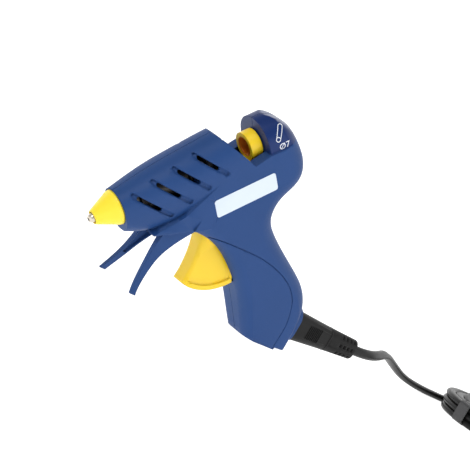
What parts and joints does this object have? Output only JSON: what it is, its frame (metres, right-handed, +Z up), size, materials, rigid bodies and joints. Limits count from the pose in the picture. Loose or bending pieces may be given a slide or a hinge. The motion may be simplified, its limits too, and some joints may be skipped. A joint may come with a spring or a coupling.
{
  "type": "glue gun",
  "caption": "hot-melt glue gun with a moulded two-part shell, pull trigger that slides a feed collar, capped nozzle, heater inside, and a mains lead plugged into the heel of the grip",
  "frame": {"origin": "in the middle of the flat base of the grip, on the surface that the gun stands on", "axes": "+X towards the nozzle, +Y to the gun's left, +Z up"},
  "size_m": [0.3495, 0.0905, 0.0966],
  "materials": {
    "shell_plastic": "fine spark-eroded matt texture, blue",
    "yellow_plastic": "satin moulded, warm yellow",
    "orange_rubber": "matt heat-proof silicone, orange",
    "label_film": "plain pale film",
    "tip_metal": "turned, slightly heat-tinted",
    "chamber_metal": "as cast",
    "heater_block": "ceramic, dark",
    "spring_steel": "bright drawn",
    "screw_steel": "blackened",
    "pin_brass": "plated",
    "lead_sleeving": "woven sleeving",
    "black_plastic": "satin black",
    "black_rubber": "smooth black cable compound"
  },
  "bodies": {
    "housing": {"left_shell": "shell_plastic", "right_shell": "shell_plastic", "side_label": "label_film", "nozzle_tip": "tip_metal", "nozzle_sleeve": "yellow_plastic", "melt_chamber": "chamber_metal", "front_insulator": "orange_rubber", "rear_insulator": "orange_rubber", "inlet_sleeve": "orange_rubber", "inlet_clamp": "spring_steel", "stick_guide": "orange_rubber", "heater_seat": "chamber_metal", "heater_element": "heater_block", "heater_clip": "spring_steel", "pivot_pin": "spring_steel", "return_spring": "spring_steel", "shell_screws": "screw_steel", "mains_inlet": "black_plastic", "inlet_pins": "pin_brass", "heater_leads": "lead_sleeving", "cord_connector": "black_plastic", "cord_strain_relief": "black_rubber", "cord": "black_rubber", "coil_tie": "black_plastic", "cord_coil": "black_rubber", "mains_plug": "black_plastic", "plug_pins": "pin_brass"},
    "trigger_lever": {"trigger": "yellow_plastic", "drive_pin": "spring_steel"},
    "feed_slide": {"feed_collar": "yellow_plastic"}
  },
  "joints": [
    {"name": "trigger_pull", "type": "hinge", "parent": "housing", "child": "trigger_lever", "pos_m": [0.0577, 0, 0.0384], "axis": [0, 1, 0], "range_deg": [0, 20], "stiffness_Nm_per_rad": 0.12, "springref_deg": -8.59, "deforming": ["return_spring"]},
    {"name": "collar_feed", "type": "slide", "parent": "housing", "child": "feed_slide", "axis": [0.6845, 0, -0.729], "range_m": [0, 0.00725]}
  ],
  "couplings": [
    {"joint": "collar_feed", "follows": "trigger_pull", "m_per_rad": 0.020695}
  ]
}
